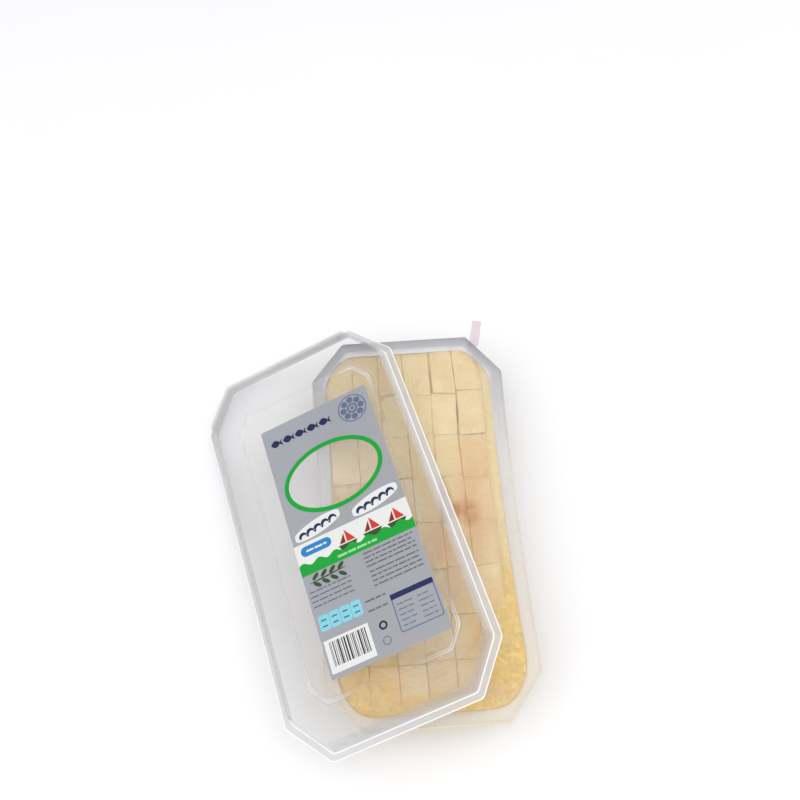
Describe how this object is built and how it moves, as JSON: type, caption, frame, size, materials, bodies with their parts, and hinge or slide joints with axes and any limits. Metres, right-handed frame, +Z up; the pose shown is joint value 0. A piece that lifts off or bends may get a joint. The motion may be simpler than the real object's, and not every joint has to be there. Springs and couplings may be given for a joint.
{
  "type": "clear pack of smoked cod cubes in oil",
  "caption": "Eight-sided clear deli tray packed with smoked cod cubes in oil, film-sealed, with its clear labelled lid leaning askew across it.",
  "frame": {"origin": "middle of the tray's flat base, on the surface it stands on", "axes": "+X across the tray to the side that the lid leaves open, +Y along it to the far end, +Z up"},
  "size_m": [0.2136, 0.298, 0.0765],
  "materials": {
    "clear_tray": "clear, slightly milky moulded plastic",
    "clear_lid": "clear moulded plastic, smooth, bright edges",
    "clear_film": "thin clear sealing film, tight and glossy",
    "printed_label": "pale grey printed film with fields of colour",
    "smoked_cod": "moist flaky fish, cream to golden tan, under oil"
  },
  "bodies": {
    "root": {"tray": "clear_tray", "sealing_film": "clear_film", "peel_tab": "clear_film", "lid": "clear_lid", "lid_label": "printed_label", "cod_cube_c1_r1": "smoked_cod", "cod_cube_c1_r2": "smoked_cod", "cod_cube_c1_r3": "smoked_cod", "cod_cube_c1_r4": "smoked_cod", "cod_cube_c1_r5": "smoked_cod", "cod_cube_c1_r6": "smoked_cod", "cod_cube_c1_r7": "smoked_cod", "cod_cube_c1_r8": "smoked_cod", "cod_cube_c2_r1": "smoked_cod", "cod_cube_c2_r2": "smoked_cod", "cod_cube_c2_r3": "smoked_cod", "cod_cube_c2_r4": "smoked_cod", "cod_cube_c2_r5": "smoked_cod", "cod_cube_c2_r6": "smoked_cod", "cod_cube_c2_r7": "smoked_cod", "cod_cube_c2_r8": "smoked_cod", "cod_cube_c3_r1": "smoked_cod", "cod_cube_c3_r2": "smoked_cod", "cod_cube_c3_r3": "smoked_cod", "cod_cube_c3_r4": "smoked_cod", "cod_cube_c3_r5": "smoked_cod", "cod_cube_c3_r6": "smoked_cod", "cod_cube_c3_r7": "smoked_cod", "cod_cube_c3_r8": "smoked_cod", "cod_cube_c4_r1": "smoked_cod", "cod_cube_c4_r2": "smoked_cod", "cod_cube_c4_r3": "smoked_cod", "cod_cube_c4_r4": "smoked_cod", "cod_cube_c4_r5": "smoked_cod", "cod_cube_c4_r6": "smoked_cod", "cod_cube_c4_r7": "smoked_cod", "cod_cube_c4_r8": "smoked_cod", "cod_cube_c5_r1": "smoked_cod", "cod_cube_c5_r2": "smoked_cod", "cod_cube_c5_r3": "smoked_cod", "cod_cube_c5_r4": "smoked_cod", "cod_cube_c5_r5": "smoked_cod", "cod_cube_c5_r6": "smoked_cod", "cod_cube_c5_r7": "smoked_cod", "cod_cube_c5_r8": "smoked_cod", "cod_cube_c6_r1": "smoked_cod", "cod_cube_c6_r2": "smoked_cod", "cod_cube_c6_r3": "smoked_cod", "cod_cube_c6_r4": "smoked_cod", "cod_cube_c6_r5": "smoked_cod", "cod_cube_c6_r6": "smoked_cod", "cod_cube_c6_r7": "smoked_cod", "cod_cube_c6_r8": "smoked_cod"}
  },
  "joints": []
}
